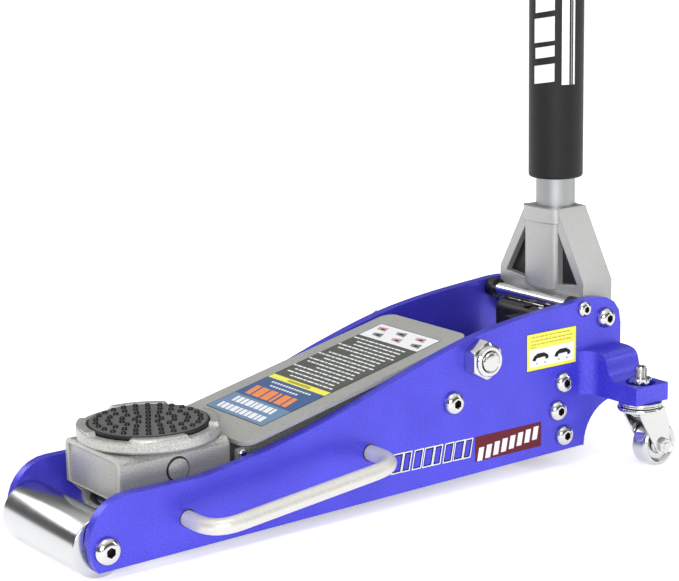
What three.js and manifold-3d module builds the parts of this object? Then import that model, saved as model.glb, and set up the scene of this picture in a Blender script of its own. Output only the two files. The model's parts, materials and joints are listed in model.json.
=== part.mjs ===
// Low-profile hydraulic floor jack with an aluminium frame, as an assembly of separate pieces.
// Millimetres, +Z up, +X towards the handle end, +Y to the far side. The origin is on the floor, under the
// middle of the assembly's box. Inside the model, stations along X are counted from the front roller's axis.
import * as THREE from "three";
import { mergeVertices } from "three/addons/utils/BufferGeometryUtils.js";
import Module from "manifold-3d";

const wasm = await Module();
wasm.setup();

// ---------- driving dimensions ----------
const GAP = 0.3; // between pieces that touch or turn in each other

const ROLLER = { radius: 23, halfLength: 54, axleRadius: 9 };
const PLATE = { outer: 63, thickness: 8, top: 61, noseX: 20, noseZ: 27.6, noseRadius: 34 };
PLATE.inner = PLATE.outer - PLATE.thickness;
PLATE.bottomSlope = 0.0146; // the lower edge rises a little towards the rear
PLATE.bottomFront = 7.4; // height of the lower edge at the roller axis
PLATE.rear = 501.8;
const ARCH = { x: 497.5, z: 13.5, radius: 36.8 };
const EAR = { front: 465.6, outer: 119.8, top: 73.2, bottom: 58.2, rootTop: 96, filletRadius: 14 };

// The lift linkage is a parallelogram: arm pivot, link pivot, head pin and link pin.
const ARM_PIVOT = { x: 345, z: 108 };
const LINK_PIVOT = { x: 319, z: 75.4 };
const HEAD_PIN = { x: 75, z: 63.5 };
const LINK_PIN = {
  x: HEAD_PIN.x + LINK_PIVOT.x - ARM_PIVOT.x,
  z: HEAD_PIN.z + LINK_PIVOT.z - ARM_PIVOT.z,
};
const LIFT_ANGLE = THREE.MathUtils.degToRad(62);

const COVER = { front: 125.8, frontZ: 76.2, rear: 344.7, rearZ: 125, halfWidth: 53.7 };
COVER.thickness = 4;
COVER.cornerRadius = 12;
COVER.slope = Math.atan2(COVER.rearZ - COVER.frontZ, COVER.rear - COVER.front);
const TONGUE = { inner: 24, outer: 28, eyeRadius: 9 };
const SKIRT = { inner: 45, outer: 50, depth: 24 };
const LINK = { inner: 29.5, outer: 33.5, halfWidth: 8 };
const HEAD = { front: 27, rear: 121, halfWidth: 40, wall: 3.5, top: 80, panelBottom: 45 };
const SADDLE = { x: 75, radius: 54.3, bottom: 81, top: 92.7, padRadius: 46, padTop: 92.4 };

// The crank under the arm pivot takes the ram's push through a slotted crosshead.
const CRANK = { radius: 50, pinRadius: 6, halfWidth: 22, lugInner: 14 };
const CRANK_PIN = {
  x: ARM_PIVOT.x + CRANK.radius * Math.sin(LIFT_ANGLE / 2),
  z: ARM_PIVOT.z - CRANK.radius * Math.cos(LIFT_ANGLE / 2),
};
const RAM = { radius: 11, z: 61.5, rear: 452, crossheadHalf: 13 };
const CYLINDER = { front: 388, rear: 456, outerRadius: 20, boreRadius: 11.4 };
const SPRING = { y: 26, radius: 3, rear: 452, pocketRadius: 4 };

const UNIT = { front: 405, rear: 466, bottom: 20, halfWidth: 52, shoulder: 88 };
UNIT.drumFront = 447;
UNIT.drumTop = 125.5;
UNIT.springSeat = 455;
const UNIT_BOLTS = { top: [436.8, 72.4], middle: [430.3, 49.2], low: [437.6, 26.9] };

const YOKE_PIVOT = { x: 483.4, z: 120.5 };
const YOKE = { front: 468.4, rear: 500.4, topHalf: 20, top: 208.5, hipHalf: 53, hip: 149.5 };
YOKE.legInner = 43;
YOKE.wallBottom = 133;
YOKE.socketRadius = 19.25;
YOKE.socketBottom = 137.5;
YOKE.ringBottom = 196;
YOKE.bossFront = 462.9;
YOKE.bossBottom = 139.5;
const CAM = { base: 11, offset: 4, halfWidth: 9, sweep: THREE.MathUtils.degToRad(75) };
const BAR = { x: 459.6, z: 131.3, radius: 5.5, half: 46, sleeveRadius: 8.3 };

const HANDLE = { x: 484.4, bottom: 141, radius: 16.5, wall: 2, lowerTop: 620 };
HANDLE.upperRadius = HANDLE.radius - HANDLE.wall - GAP;
HANDLE.upperBottom = 540;
HANDLE.upperTop = 1092;
HANDLE.sleeveBottom = 238;
HANDLE.sleeveTop = 598;
HANDLE.sleeveRadius = 23;
HANDLE.gripBottom = 965;
HANDLE.top = 1100;
HANDLE.gripRadius = 17.5;

const CASTER = { x: 483.7, y: 106, trail: 16.6, wheelRadius: 18.5, wheelHalf: 8, discRadius: 19 };
const SIDE_HANDLE = { radius: 6.25, reach: 37, front: [67.9, 32.8], rear: [235.7, 50.5], bend: 24 };

// The box's middle along X, which becomes the origin.
const MIDDLE_X = (CASTER.x + CASTER.trail + CASTER.wheelRadius - ROLLER.radius) / 2;

// ---------- materials ----------
const finish = (color, roughness, metalness) =>
  new THREE.MeshStandardMaterial({ color, roughness, metalness });
const FINISH = {
  blue: finish(0x3a37c8, 0.42, 0.6),
  silverPaint: finish(0xa9a9a6, 0.45, 0.6),
  darkPaint: finish(0x3b3b38, 0.55, 0.4),
  zinc: finish(0xcfcfcb, 0.28, 1.0),
  chrome: finish(0xe8e8ea, 0.12, 1.0),
  steel: finish(0x8f8f8d, 0.4, 0.9),
  rubber: finish(0x232323, 0.8, 0.0),
  foam: finish(0x2e2e2e, 0.9, 0.0),
  tube: finish(0xb9bab8, 0.35, 0.9),
  plastic: finish(0x1b1b1b, 0.6, 0.0),
};

// ---------- solids ----------
const ALONG_Y = new THREE.Matrix4(); // turns a shape drawn in X and Z, so that it extrudes along -Y
ALONG_Y.makeBasis(
  new THREE.Vector3(1, 0, 0),
  new THREE.Vector3(0, 0, 1),
  new THREE.Vector3(0, -1, 0),
);
const ALONG_X = new THREE.Matrix4(); // turns a shape drawn in Y and Z, so that it extrudes along +X
ALONG_X.makeBasis(
  new THREE.Vector3(0, 1, 0),
  new THREE.Vector3(0, 0, 1),
  new THREE.Vector3(1, 0, 0),
);

// A three.js geometry as a manifold-3d solid with its faces pointing out.
function solid(geometry) {
  geometry.deleteAttribute("normal");
  geometry.deleteAttribute("uv");
  const merged = mergeVertices(geometry, 1e-4);
  const triVerts = new Uint32Array(merged.index.array);
  const vertProperties = merged.attributes.position.array;
  const made = new wasm.Manifold(new wasm.Mesh({ numProp: 3, vertProperties, triVerts }));
  if (made.volume() > 0) return made;
  for (let i = 0; i < triVerts.length; i += 3)
    [triVerts[i + 1], triVerts[i + 2]] = [triVerts[i + 2], triVerts[i + 1]];
  return new wasm.Manifold(new wasm.Mesh({ numProp: 3, vertProperties, triVerts }));
}

function block(x0, x1, y0, y1, z0, z1) {
  const g = new THREE.BoxGeometry(x1 - x0, y1 - y0, z1 - z0);
  return solid(g.translate((x0 + x1) / 2, (y0 + y1) / 2, (z0 + z1) / 2));
}

// A rod along X, Y or Z, between two stations on that axis, centred on the other two coordinates.
function rod(axis, radius, from, to, a, b, sides = 18) {
  const g = new THREE.CylinderGeometry(radius, radius, to - from, sides);
  const middle = (from + to) / 2;
  if (axis === "x") return solid(g.rotateZ(Math.PI / 2).translate(middle, a, b));
  if (axis === "y") return solid(g.translate(a, middle, b));
  return solid(g.rotateX(Math.PI / 2).translate(a, b, middle));
}

const rodX = (radius, x0, x1, y, z, sides) => rod("x", radius, x0, x1, y, z, sides);
const rodY = (radius, y0, y1, x, z, sides) => rod("y", radius, y0, y1, x, z, sides);
const rodZ = (radius, z0, z1, x, y, sides) => rod("z", radius, z0, z1, x, y, sides);

// A slab of an outline drawn in X and Z, between two Y stations.
function slabY(shape, y0, y1, curveSegments = 6) {
  const g = new THREE.ExtrudeGeometry(shape, {
    depth: y1 - y0,
    bevelEnabled: false,
    curveSegments,
  });
  return solid(g.applyMatrix4(ALONG_Y).translate(0, y1, 0));
}

// A slab of an outline drawn in Y and Z, between two X stations.
function slabX(shape, x0, x1, curveSegments = 6) {
  const g = new THREE.ExtrudeGeometry(shape, {
    depth: x1 - x0,
    bevelEnabled: false,
    curveSegments,
  });
  return solid(g.applyMatrix4(ALONG_X).translate(x0, 0, 0));
}

// A turned piece about a vertical axis. The profile lists [radius, height] and closes on the axis.
function turned(profile, x, y, sides = 36) {
  const points = profile.map(([r, z]) => new THREE.Vector2(r, z));
  const g = new THREE.LatheGeometry(points, sides);
  return solid(g.rotateX(Math.PI / 2).translate(x, y, 0));
}

// The same about an axis along Y, with the profile's heights measured from y0 towards the side given.
function turnedY(profile, x, z, y0, side, sides = 16) {
  const points = profile.map(([r, h]) => new THREE.Vector2(r, h * side + y0));
  return solid(new THREE.LatheGeometry(points, sides).translate(x, 0, z));
}

function polygon(points) {
  return new THREE.Shape(points.map(([u, v]) => new THREE.Vector2(u, v)));
}

// An outline round two circles of one size: a bar with round ends.
function stadium(a, b, radius) {
  const turn = Math.atan2(b.z - a.z, b.x - a.x);
  const shape = new THREE.Shape();
  shape.absarc(a.x, a.z, radius, turn + Math.PI / 2, turn + (3 * Math.PI) / 2, false);
  shape.absarc(b.x, b.z, radius, turn - Math.PI / 2, turn + Math.PI / 2, false);
  return shape;
}

// ---------- the assembly ----------
const jack = new THREE.Group();
jack.position.x = -MIDDLE_X;

function add(name, made, material) {
  const mesh = made.getMesh();
  const geometry = new THREE.BufferGeometry();
  geometry.setAttribute("position", new THREE.BufferAttribute(mesh.vertProperties, 3));
  geometry.setIndex(new THREE.BufferAttribute(mesh.triVerts, 1));
  const piece = new THREE.Mesh(geometry, material);
  piece.name = name;
  jack.add(piece);
}

const SIDES = [
  ["near", -1],
  ["far", 1],
];

// Two Y stations in rising order, given as distances from the middle plane on one side.
const span = (side, a, b) => (side < 0 ? [-b, -a] : [a, b]);

// A button-head screw: its domed head stands on a plate's outer face and its shank runs inwards.
function buttonScrew(side, [x, z], headRadius, headHeight, shankRadius, tip) {
  const face = PLATE.outer + GAP;
  const socket = headRadius * 0.42;
  const head = turnedY(
    [
      [0, 0],
      [headRadius, 0],
      [headRadius, headHeight * 0.35],
      [headRadius * 0.6, headHeight],
      [0, headHeight],
    ],
    x,
    z,
    side * face,
    side,
  );
  const shank = rodY(shankRadius, ...span(side, tip, face + 0.5), x, z, 10);
  const depth = face + headHeight * 0.45;
  const recess = rodY(socket, ...span(side, depth, face + headHeight + 1), x, z, 6);
  return head.add(shank).subtract(recess);
}

// --- side plates with the caster ears ---
function plateOutline() {
  const bottomAt = (x) => PLATE.bottomFront + PLATE.bottomSlope * x;
  const shape = new THREE.Shape();
  const archStart = ARCH.x - ARCH.radius;
  const drop = PLATE.noseZ - PLATE.bottomFront;
  const noseEnd = Math.PI + Math.asin(drop / PLATE.noseRadius);
  shape.absarc(PLATE.noseX, PLATE.noseZ, PLATE.noseRadius, noseEnd, Math.PI / 2, true);
  shape.lineTo(83, PLATE.top + 0.6);
  const crest = [
    [111, 65.6],
    [140, 70.6],
    [180, 79.6],
    [226, 92.4],
    [286, 111.4],
    [338, 125.2],
    [392, 133.6],
    [460, 139.4],
  ];
  shape.splineThru(crest.map(([x, z]) => new THREE.Vector2(x, z)));
  shape.bezierCurveTo(484, 141, PLATE.rear, 136, PLATE.rear, 114);
  const archEnd = Math.acos((PLATE.rear - ARCH.x) / ARCH.radius);
  shape.lineTo(PLATE.rear, ARCH.z + ARCH.radius * Math.sin(archEnd));
  shape.absarc(ARCH.x, ARCH.z, ARCH.radius, archEnd, Math.PI, false);
  shape.lineTo(archStart, bottomAt(archStart));
  return shape;
}

// The ear sweeps out of the plate in an S and ends in a flat shelf for the caster.
function earOutline(side) {
  const shape = new THREE.Shape();
  const at = (y, z) => [side * y, z];
  shape.moveTo(...at(PLATE.inner + 2, EAR.bottom));
  shape.lineTo(...at(EAR.outer, EAR.bottom));
  shape.lineTo(...at(EAR.outer, EAR.top));
  shape.lineTo(...at(99, EAR.top));
  shape.bezierCurveTo(...at(91, EAR.top), ...at(86.5, 78), ...at(85, 86));
  shape.bezierCurveTo(...at(83.5, 94), ...at(79, EAR.rootTop), ...at(66, EAR.rootTop));
  shape.lineTo(...at(PLATE.inner + 2, EAR.rootTop));
  return shape;
}

function sidePlate(side) {
  let made = slabY(plateOutline(), ...span(side, PLATE.inner, PLATE.outer), 5);
  const fillet = new THREE.Shape();
  const r = EAR.filletRadius;
  const rootZ = [EAR.bottom, EAR.rootTop];
  fillet.moveTo(EAR.front - r, side * PLATE.outer);
  fillet.absarc(EAR.front - r, side * (PLATE.outer + r), r, (-side * Math.PI) / 2, 0, side < 0);
  fillet.lineTo(EAR.front + 1, side * (PLATE.outer + r));
  fillet.lineTo(EAR.front + 1, side * (PLATE.outer - 1));
  fillet.lineTo(EAR.front - r, side * (PLATE.outer - 1));
  const column = solid(
    new THREE.ExtrudeGeometry(fillet, {
      depth: rootZ[1] - rootZ[0],
      bevelEnabled: false,
      curveSegments: 7,
    }).translate(0, 0, rootZ[0]),
  );
  const ear = slabX(earOutline(side), EAR.front, PLATE.rear, 6);
  const earWide = slabX(earOutline(side), EAR.front - r - 1, PLATE.rear, 6);
  made = made.add(ear).add(column.intersect(earWide));
  const y = side * CASTER.y;
  const holes = [
    rodZ(5.3, EAR.bottom - 1, EAR.top + 1, CASTER.x, y, 14),
    rodZ(12.5, EAR.top - 4.5, EAR.top + 1, CASTER.x, y, 20),
    rodY(6 + GAP, ...span(side, 50, 70), 0, ROLLER.radius, 14),
    rodY(8 + GAP, ...span(side, 50, 70), ARM_PIVOT.x, ARM_PIVOT.z, 18),
    rodY(5 + GAP, ...span(side, 50, 70), LINK_PIVOT.x, LINK_PIVOT.z, 12),
    rodY(5 + GAP, ...span(side, 50, 70), YOKE_PIVOT.x, YOKE_PIVOT.z, 12),
    rodY(3 + GAP, ...span(side, 50, 70), BAR.x, BAR.z, 12),
    ...Object.values(UNIT_BOLTS).map(([bx, bz]) =>
      rodY(5 + GAP, ...span(side, 50, 70), bx, bz, 12),
    ),
  ];
  return holes.reduce((piece, hole) => piece.subtract(hole), made);
}

for (const [word, side] of SIDES) add("side_plate_" + word, sidePlate(side), FINISH.blue);

// --- front roller on its axle ---
const rollerShell = rodY(ROLLER.radius, -ROLLER.halfLength, ROLLER.halfLength, 0, ROLLER.radius, 40);
const rollerBore = rodY(
  ROLLER.axleRadius + GAP,
  -ROLLER.halfLength - 1,
  ROLLER.halfLength + 1,
  0,
  ROLLER.radius,
);
add("front_roller", rollerShell.subtract(rollerBore), FINISH.chrome);

const axleEnd = PLATE.inner - GAP;
let axle = rodY(ROLLER.axleRadius, -axleEnd, axleEnd, 0, ROLLER.radius);
for (const side of [-1, 1])
  axle = axle.subtract(rodY(6 + GAP, ...span(side, 30, 60), 0, ROLLER.radius, 16));
add("roller_axle", axle, FINISH.steel);
for (const [word, side] of SIDES)
  add("roller_bolt_" + word, buttonScrew(side, [0, ROLLER.radius], 10.5, 6, 6, 32), FINISH.zinc);

// --- power unit: cast block, cylinder, ram and pump plunger ---
function powerUnit() {
  const shape = new THREE.Shape();
  shape.moveTo(UNIT.front, UNIT.bottom);
  shape.lineTo(UNIT.rear - 12, UNIT.bottom);
  shape.lineTo(UNIT.rear - 12, 40);
  shape.lineTo(UNIT.rear, 52);
  shape.lineTo(UNIT.rear, UNIT.shoulder);
  shape.lineTo(464, 98);
  shape.absarc(457, UNIT.drumTop - 7, 7, 0, Math.PI / 2, false);
  shape.absarc(UNIT.drumFront + 8, UNIT.drumTop - 8, 8, Math.PI / 2, Math.PI, false);
  shape.lineTo(UNIT.drumFront, UNIT.shoulder + 2);
  shape.lineTo(UNIT.front, UNIT.shoulder - 2);
  let made = slabY(shape, -UNIT.halfWidth, UNIT.halfWidth, 5);
  const pumpZ = YOKE_PIVOT.z - CAM.base;
  const barrelFront = 430;
  const barrelWall = 9.3;
  made = made.add(rodX(barrelWall, barrelFront, UNIT.drumFront + 1, 0, pumpZ, 24));
  made = made.add(
    block(barrelFront, UNIT.drumFront + 1, -barrelWall, barrelWall, UNIT.shoulder - 4, pumpZ),
  );
  for (const side of [-1, 1]) {
    made = made.subtract(block(400, 470, ...span(side, 34, 60), UNIT.shoulder - 3, 130));
    made = made.subtract(
      rodX(SPRING.pocketRadius, 400, 458, side * SPRING.y, RAM.z, 12),
    );
    for (const [x, z] of Object.values(UNIT_BOLTS))
      made = made.subtract(rodY(5 + GAP, ...span(side, 37, 60), x, z, 12));
  }
  made = made.subtract(rodX(CYLINDER.outerRadius + GAP, 400, CYLINDER.rear + GAP, 0, RAM.z, 24));
  made = made.subtract(rodX(7 + GAP, 433, 460, 0, pumpZ, 20));
  made = made.subtract(rodX(10, UNIT.springSeat, 470, 0, pumpZ, 24));
  return made.subtract(rodX(6 + GAP, 458, 470, 0, 74, 16));
}
add("power_unit", powerUnit(), FINISH.darkPaint);

const barrel = rodX(CYLINDER.outerRadius, CYLINDER.front, CYLINDER.rear, 0, RAM.z, 24);
const barrelBore = rodX(CYLINDER.boreRadius, CYLINDER.front - 1, CYLINDER.rear - 3, 0, RAM.z, 20);
add("hydraulic_cylinder", barrel.subtract(barrelBore), FINISH.steel);

function ram() {
  const half = RAM.crossheadHalf;
  const x0 = CRANK_PIN.x - half;
  const x1 = CRANK_PIN.x + half;
  const head = block(x0, x1, -half + GAP, half - GAP, RAM.z - 17, RAM.z + 17);
  const slot = CRANK.pinRadius + 0.8;
  const low = { x: CRANK_PIN.x, z: ARM_PIVOT.z - CRANK.radius };
  const high = { x: CRANK_PIN.x, z: CRANK_PIN.z };
  const opening = slabY(stadium(low, high, slot), -half - 1, half + 1, 6);
  return head.subtract(opening).add(rodX(RAM.radius, x1 - 1, RAM.rear, 0, RAM.z, 20));
}
add("ram", ram(), FINISH.chrome);

for (const [word, side] of SIDES)
  for (const [place, at] of Object.entries(UNIT_BOLTS))
    add(`power_unit_bolt_${place}_${word}`, buttonScrew(side, at, 8.75, 5.5, 5, 38), FINISH.zinc);

const plungerZ = YOKE_PIVOT.z - CAM.base;
const camFace = YOKE_PIVOT.x - CAM.offset;
const plungerFace = camFace - 0.4;
const plungerHead = rodX(9, plungerFace - 5, plungerFace, 0, plungerZ, 28);
add("pump_plunger", plungerHead.add(rodX(7, 449, plungerFace - 4, 0, plungerZ, 20)), FINISH.chrome);

const coilEnd = plungerFace - 5 - GAP;
const coil = rodX(9.4, UNIT.springSeat + GAP, coilEnd, 0, plungerZ, 24);
const coilCore = rodX(7.6, UNIT.springSeat - 1, coilEnd + 1, 0, plungerZ, 24);
add("pump_spring", coil.subtract(coilCore), FINISH.steel);

const valveStem = rodX(6, 460, 474, 0, 74, 16);
add("release_valve", valveStem.add(rodX(8.5, 468, 480, 0, 74, 12)), FINISH.zinc);

// --- lift arm ---
function armCover() {
  const length = Math.hypot(COVER.rear - COVER.front, COVER.rearZ - COVER.frontZ);
  const r = COVER.cornerRadius;
  const w = COVER.halfWidth;
  const shape = new THREE.Shape();
  shape.moveTo(0, -w + r);
  shape.absarc(r, -w + r, r, Math.PI, 1.5 * Math.PI, false);
  shape.absarc(length - r, -w + r, r, 1.5 * Math.PI, 2 * Math.PI, false);
  shape.absarc(length - r, w - r, r, 0, 0.5 * Math.PI, false);
  shape.absarc(r, w - r, r, 0.5 * Math.PI, Math.PI, false);
  const t = COVER.thickness;
  const plan = { depth: t, bevelEnabled: false, curveSegments: 6 };
  const g = new THREE.ExtrudeGeometry(shape, plan).translate(0, 0, -t);
  return solid(g.rotateY(-COVER.slope).translate(COVER.front, 0, COVER.frontZ));
}
add("arm_cover", armCover(), FINISH.silverPaint);

// Height of the cover's underside, with a gap below it.
const underCover = (x) =>
  COVER.frontZ +
  (x - COVER.front) * Math.tan(COVER.slope) -
  COVER.thickness / Math.cos(COVER.slope) -
  GAP;

function tongue(side) {
  const shape = new THREE.Shape();
  const r = TONGUE.eyeRadius;
  shape.absarc(HEAD_PIN.x, HEAD_PIN.z, r, Math.PI / 2, 1.5 * Math.PI, false);
  shape.lineTo(124, 50);
  shape.lineTo(300, 84);
  shape.absarc(ARM_PIVOT.x, ARM_PIVOT.z, 18, 1.5 * Math.PI, 0.15 * Math.PI, false);
  shape.lineTo(ARM_PIVOT.x - 4, underCover(ARM_PIVOT.x - 4));
  shape.lineTo(124, underCover(124));
  let made = slabY(shape, ...span(side, TONGUE.inner, TONGUE.outer), 6);
  made = made.subtract(rodY(6 + GAP, ...span(side, 20, 30), HEAD_PIN.x, HEAD_PIN.z, 20));
  return made.subtract(rodY(12 + GAP, ...span(side, 20, 30), ARM_PIVOT.x, ARM_PIVOT.z, 20));
}

function skirt(side) {
  const shape = new THREE.Shape();
  const d = SKIRT.depth;
  shape.moveTo(132, underCover(132));
  shape.lineTo(140, underCover(140) - d);
  shape.lineTo(300, underCover(300) - d);
  shape.absarc(ARM_PIVOT.x, ARM_PIVOT.z, 18, 1.4 * Math.PI, 0.15 * Math.PI, false);
  shape.lineTo(ARM_PIVOT.x - 4, underCover(ARM_PIVOT.x - 4));
  const made = slabY(shape, ...span(side, SKIRT.inner, SKIRT.outer), 6);
  return made.subtract(rodY(12 + GAP, ...span(side, 40, 55), ARM_PIVOT.x, ARM_PIVOT.z, 20));
}

for (const [word, side] of SIDES) {
  add("arm_tongue_" + word, tongue(side), FINISH.silverPaint);
  add("arm_side_" + word, skirt(side), FINISH.silverPaint);
}

function crank() {
  const { x, z } = ARM_PIVOT;
  let made = rodY(12, -PLATE.inner + 1, PLATE.inner - 1, x, z, 20);
  for (const side of [-1, 1]) {
    const lug = slabY(stadium(ARM_PIVOT, CRANK_PIN, 10), ...span(side, CRANK.lugInner, CRANK.halfWidth));
    made = made.add(lug);
  }
  made = made.add(rodY(CRANK.pinRadius, -28.5, 28.5, CRANK_PIN.x, CRANK_PIN.z, 14));
  return made.subtract(rodY(8 + GAP, -60, 60, x, z, 18));
}
add("arm_crank", crank(), FINISH.steel);

const nutFace = PLATE.outer + GAP;
const pivotShank = rodY(8, -81, nutFace + 0.5, ARM_PIVOT.x, ARM_PIVOT.z);
const pivotHead = rodY(14, nutFace, nutFace + 10, ARM_PIVOT.x, ARM_PIVOT.z, 6);
add("arm_pivot_bolt", pivotShank.add(pivotHead), FINISH.zinc);
const nutHex = rodY(14.1, -nutFace - 12, -nutFace, ARM_PIVOT.x, ARM_PIVOT.z, 6);
const nutCollar = rodY(11, -nutFace - 15.5, -nutFace - 11, ARM_PIVOT.x, ARM_PIVOT.z);
const nutHole = rodY(8 + GAP, -90, -50, ARM_PIVOT.x, ARM_PIVOT.z);
add("arm_pivot_nut", nutHex.add(nutCollar).subtract(nutHole), FINISH.zinc);

// --- return springs beside the cylinder, hooked on the crank pin ---
for (const [word, side] of SIDES) {
  const y = side * SPRING.y;
  const hook = CRANK_PIN.x + CRANK.pinRadius + 1;
  add("return_spring_" + word, rodX(SPRING.radius, hook, SPRING.rear, y, RAM.z, 12), FINISH.steel);
}

// --- lower links ---
for (const [word, side] of SIDES) {
  const [y0, y1] = span(side, LINK.inner, LINK.outer);
  let made = slabY(stadium(LINK_PIN, LINK_PIVOT, LINK.halfWidth), y0, y1);
  made = made.subtract(rodY(5 + GAP, y0 - 1, y1 + 1, LINK_PIVOT.x, LINK_PIVOT.z, 16));
  made = made.subtract(rodY(5.5 + GAP, y0 - 1, y1 + 1, LINK_PIN.x, LINK_PIN.z, 20));
  add("link_bar_" + word, made, FINISH.darkPaint);
  const at = [LINK_PIVOT.x, LINK_PIVOT.z];
  add("link_bolt_" + word, buttonScrew(side, at, 9.4, 6, 5, LINK.inner - GAP), FINISH.zinc);
}

// --- saddle head, an inverted channel that stays level ---
function saddleHead() {
  const r = 7;
  const w = HEAD.halfWidth;
  const hood = new THREE.Shape();
  hood.absarc(-w + r, HEAD.top - r, r, Math.PI, Math.PI / 2, true);
  hood.absarc(w - r, HEAD.top - r, r, Math.PI / 2, 0, true);
  hood.lineTo(w, 12);
  hood.lineTo(-w, 12);
  const side = new THREE.Shape();
  side.moveTo(HEAD.front, HEAD.top + 1);
  side.lineTo(HEAD.front, HEAD.panelBottom);
  side.lineTo(LINK_PIN.x - 12, LINK_PIN.z + 4);
  side.absarc(LINK_PIN.x, LINK_PIN.z, 12, Math.PI * 0.9, 1.75 * Math.PI, false);
  side.lineTo(112, 50);
  side.lineTo(HEAD.rear, 60);
  side.lineTo(HEAD.rear, HEAD.top + 1);
  const outer = slabX(hood, HEAD.front, HEAD.rear, 5);
  const t = HEAD.wall;
  const inside = block(HEAD.front + t, HEAD.rear + 5, -w + t, w - t, 0, HEAD.top - t);
  let made = outer.subtract(inside).intersect(slabY(side, -w - 1, w + 1, 8));
  made = made.subtract(block(HEAD.front - 1, HEAD.front + t + 0.5, -w + t, w - t, 0, HEAD.panelBottom));
  made = made.subtract(rodY(6 + GAP, -60, 60, HEAD_PIN.x, HEAD_PIN.z, 20));
  made = made.subtract(rodY(5.5 + GAP, -60, 60, LINK_PIN.x, LINK_PIN.z, 20));
  return made.subtract(rodZ(8 + GAP, 60, 90, SADDLE.x, 0, 20));
}
add("saddle_head", saddleHead(), FINISH.silverPaint);

// A headed pin across the head, with a low round head at each end.
function crossPin(radius, headRadius, { x, z }) {
  const face = HEAD.halfWidth + GAP;
  let made = rodY(radius, -face - 0.5, face + 0.5, x, z, 20);
  for (const side of [-1, 1]) made = made.add(rodY(headRadius, ...span(side, face, face + 3), x, z));
  return made;
}
add("head_pin", crossPin(6, 8.5, HEAD_PIN), FINISH.zinc);
add("link_pin", crossPin(5.5, 8, LINK_PIN), FINISH.steel);

// --- saddle ---
function saddleDish() {
  const padHole = SADDLE.padRadius + GAP;
  const floor = SADDLE.bottom + 3.5;
  const profile = [
    [0, 70.6],
    [8, 70.6],
    [8, HEAD.top + GAP],
    [36, HEAD.top + GAP],
    [36, SADDLE.bottom],
    [SADDLE.radius - 1.5, SADDLE.bottom],
    [SADDLE.radius, SADDLE.bottom + 1.5],
    [SADDLE.radius, SADDLE.top - 2],
    [SADDLE.radius - 2, SADDLE.top],
    [padHole, SADDLE.top],
    [padHole, floor],
    [0, floor],
  ];
  return turned(profile, SADDLE.x, 0, 36);
}
add("saddle_dish", saddleDish(), FINISH.silverPaint);
const padBottom = SADDLE.bottom + 3.5 + GAP;
add("saddle_pad", rodZ(SADDLE.padRadius, padBottom, SADDLE.padTop, SADDLE.x, 0, 30), FINISH.rubber);

// --- handle yoke with its pump cam ---
function camOutline() {
  const { x, z } = YOKE_PIVOT;
  const points = [
    [x + 12, YOKE.wallBottom + 4],
    [x - 10, YOKE.wallBottom + 4],
    [x - 10, z + 5],
    [camFace, z + 1],
  ];
  const steps = 8;
  for (let i = 0; i <= steps; i++) {
    const turn = (CAM.sweep * i) / steps;
    const reach = CAM.offset + CAM.base * turn;
    points.push([
      x - reach * Math.cos(turn) + CAM.base * Math.sin(turn),
      z - reach * Math.sin(turn) - CAM.base * Math.cos(turn),
    ]);
  }
  points.push([x + 12, z - 14]);
  return polygon(points);
}

// The bowed face of the handle socket, standing out in front of the frame.
function yokeBoss(half, front, z0, z1) {
  const depth = YOKE.front - front;
  const bow = new THREE.Shape();
  bow.moveTo(YOKE.front + 3, -half);
  bow.lineTo(YOKE.front + 3, half);
  bow.absellipse(YOKE.front, 0, depth, half, Math.PI / 2, (3 * Math.PI) / 2, false);
  const plan = { depth: z1 - z0, bevelEnabled: false, curveSegments: 12 };
  return solid(new THREE.ExtrudeGeometry(bow, plan).translate(0, 0, z0));
}

function yoke() {
  const frame = new THREE.Shape();
  frame.moveTo(YOKE.topHalf, YOKE.top);
  frame.lineTo(-YOKE.topHalf, YOKE.top);
  frame.lineTo(-YOKE.hipHalf, YOKE.hip);
  frame.lineTo(-YOKE.hipHalf, YOKE_PIVOT.z);
  frame.lineTo(-YOKE.legInner, YOKE_PIVOT.z);
  frame.lineTo(-YOKE.legInner + 6, YOKE.wallBottom);
  frame.lineTo(YOKE.legInner - 6, YOKE.wallBottom);
  frame.lineTo(YOKE.legInner, YOKE_PIVOT.z);
  frame.lineTo(YOKE.hipHalf, YOKE_PIVOT.z);
  frame.lineTo(YOKE.hipHalf, YOKE.hip);
  for (const side of [-1, 1]) {
    const window = new THREE.Path();
    window.moveTo(side * 20.5, 189);
    window.lineTo(side * 20.5, 144);
    window.lineTo(side * 45, 147);
    frame.holes.push(window);
  }
  let made = slabX(frame, YOKE.front, YOKE.rear);
  const x = HANDLE.x;
  made = made.add(rodZ(YOKE.socketRadius, YOKE.socketBottom, YOKE.top, x, 0, 24));
  made = made.add(yokeBoss(19.4, YOKE.bossFront, YOKE.bossBottom, YOKE.top));
  made = made.add(yokeBoss(21.4, YOKE.bossFront - 1.5, YOKE.ringBottom, YOKE.top));
  for (const side of [-1, 1]) {
    const [y0, y1] = span(side, YOKE.legInner, YOKE.hipHalf);
    made = made.add(rodY(16.5, y0, y1, YOKE_PIVOT.x, YOKE_PIVOT.z, 24));
    made = made.subtract(rodY(5 + GAP, y0 - 1, y1 + 1, YOKE_PIVOT.x, YOKE_PIVOT.z, 12));
  }
  made = made.add(slabY(camOutline(), -CAM.halfWidth, CAM.halfWidth));
  return made.subtract(rodZ(HANDLE.radius + GAP, HANDLE.bottom - GAP, 220, x, 0, 24));
}
add("handle_yoke", yoke(), FINISH.silverPaint);
for (const [word, side] of SIDES) {
  const at = [YOKE_PIVOT.x, YOKE_PIVOT.z];
  add("yoke_bolt_" + word, buttonScrew(side, at, 8.6, 6.5, 5, YOKE.legInner + 1), FINISH.zinc);
}

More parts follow.
